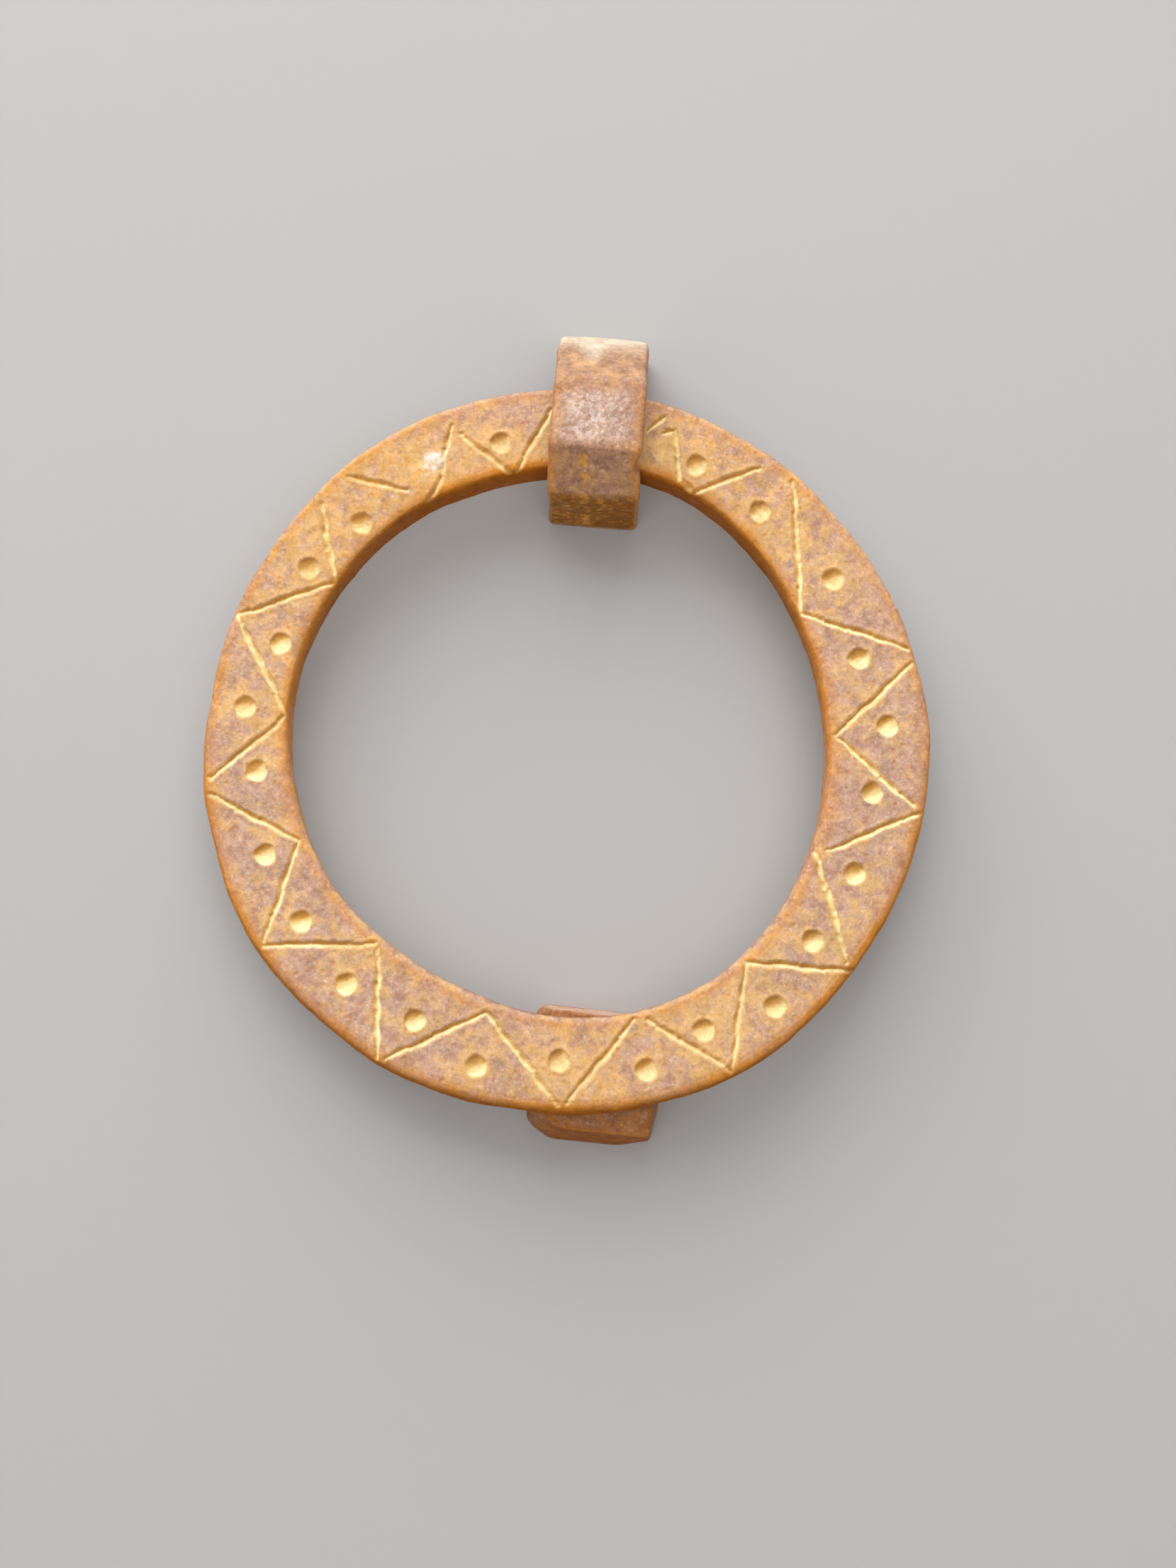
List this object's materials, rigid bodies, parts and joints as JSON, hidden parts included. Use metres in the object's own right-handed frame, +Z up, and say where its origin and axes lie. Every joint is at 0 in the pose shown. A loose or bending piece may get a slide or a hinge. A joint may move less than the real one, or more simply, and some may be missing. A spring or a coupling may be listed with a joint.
{
  "type": "ring door knocker",
  "caption": "Hand-forged flat iron ring knocker with a chased zigzag and punched dots, hung in a strap staple over a squared strike stud, with through-door fixings.",
  "frame": {"origin": "on the door's outer face, midway between the staple's two tails", "axes": "+X to the right as seen from the front, +Y into the door, +Z up; the front faces -Y"},
  "size_m": [0.1201, 0.0836, 0.1539],
  "materials": {
    "ring_iron": "forged iron with a mauve-brown face and ochre rust in the marks",
    "strap_iron": "forged iron, brown, worn bright on the nose and dusty on top",
    "strike_iron": "forged iron, reddish brown rust",
    "rear_plate_iron": "blackened forged iron with light rust",
    "fixing_steel": "dull plain steel with a brown bloom"
  },
  "bodies": {
    "fixed": {"hanger_staple": "strap_iron", "hanger_rear_plate": "rear_plate_iron", "upper_tail_washer": "fixing_steel", "lower_tail_washer": "fixing_steel", "upper_tail_nut": "fixing_steel", "lower_tail_nut": "fixing_steel", "strike_stud": "strike_iron", "strike_rear_plate": "rear_plate_iron", "strike_washer": "fixing_steel", "strike_nut": "fixing_steel"},
    "ring": {"knocker_ring": "ring_iron"}
  },
  "joints": [
    {"name": "ring_swing", "type": "hinge", "parent": "fixed", "child": "ring", "pos_m": [0, -0.01203, -0.00352], "axis": [-1, 0, 0], "range_deg": [0, 183]}
  ]
}
